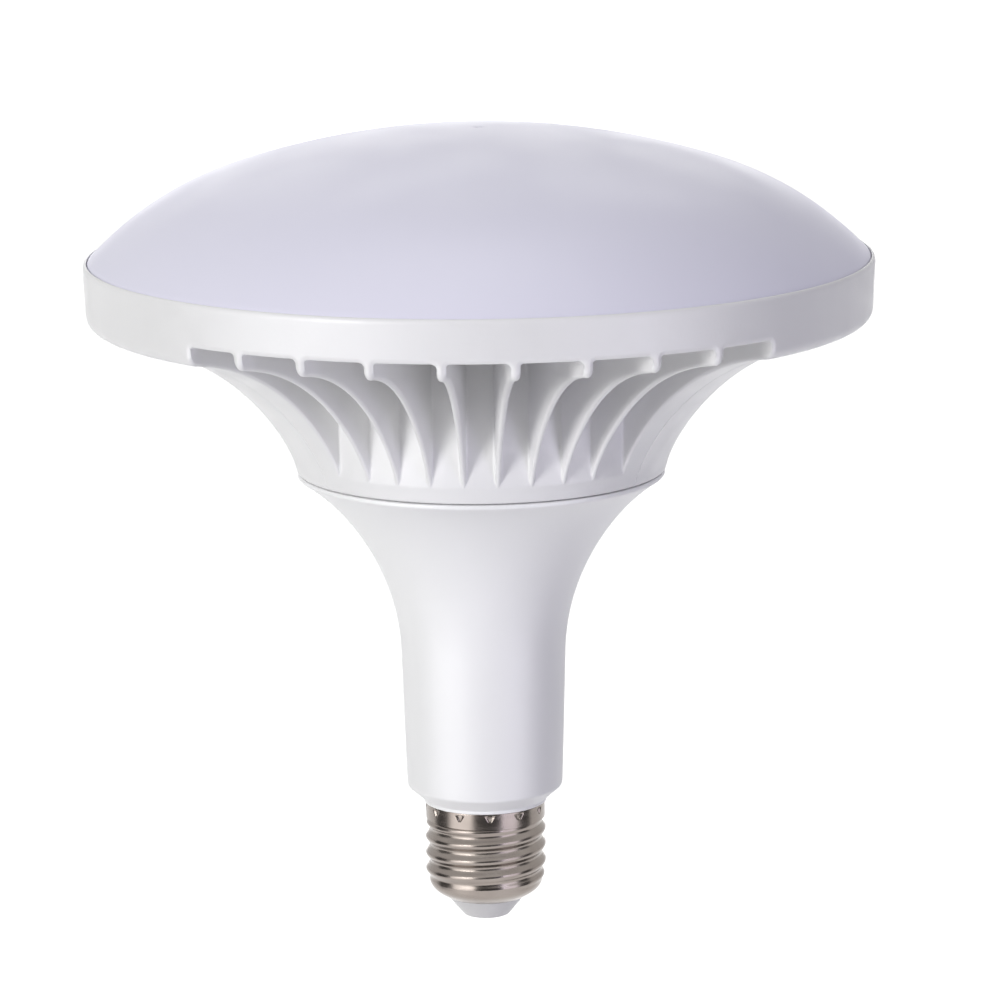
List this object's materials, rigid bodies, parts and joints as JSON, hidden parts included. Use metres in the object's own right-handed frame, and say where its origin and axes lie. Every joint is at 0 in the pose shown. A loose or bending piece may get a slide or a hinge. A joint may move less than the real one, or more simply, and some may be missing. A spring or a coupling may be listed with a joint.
{
  "type": "led photography bulb",
  "caption": "Mushroom-shaped LED lamp with a shallow milky dome, a white cast head with cooling fins, a trumpet-shaped neck and a screw cap.",
  "frame": {"origin": "the tip of the centre contact, on the lamp's axis", "axes": "+Z along the lamp's axis from the centre contact towards the dome, -Y towards the middle of the front group of fins, +X through the middle of one of the two smooth sides"},
  "size_m": [0.1688, 0.1688, 0.1739],
  "materials": {
    "milky_plastic": "satin",
    "white_casting": "satin",
    "white_housing": "gloss",
    "nickel_shell": "satin",
    "white_insulator": "matte",
    "contact_metal": "satin",
    "board_white": "satin",
    "chip_yellow": "gloss",
    "screw_steel": "satin",
    "bush_white": "matte",
    "board_green": "satin",
    "ferrite": "matte",
    "sleeve_blue": "gloss",
    "film_yellow": "gloss",
    "resistor_blue": "gloss",
    "varistor_blue": "gloss",
    "chip_black": "matte",
    "wire_brown": "satin",
    "wire_blue": "satin",
    "wire_red": "satin",
    "wire_black": "satin"
  },
  "bodies": {
    "root": {"diffuser": "milky_plastic", "heat_sink_body": "white_casting", "driver_housing": "white_housing", "cap_shell": "nickel_shell", "cap_insulator": "white_insulator", "centre_contact": "contact_metal", "led_board": "board_white", "led_chips": "chip_yellow", "board_screws": "screw_steel", "housing_screws": "screw_steel", "wire_bush": "bush_white", "led_connector": "bush_white", "driver_board": "board_green", "transformer": "ferrite", "input_capacitor": "sleeve_blue", "output_capacitor": "sleeve_blue", "film_capacitor": "film_yellow", "choke": "ferrite", "fuse_resistor": "resistor_blue", "varistor": "varistor_blue", "bridge_rectifier": "chip_black", "driver_chip": "chip_black", "output_diode": "chip_black", "live_wire": "wire_brown", "neutral_wire": "wire_blue", "led_wire_red": "wire_red", "led_wire_black": "wire_black"}
  },
  "joints": []
}
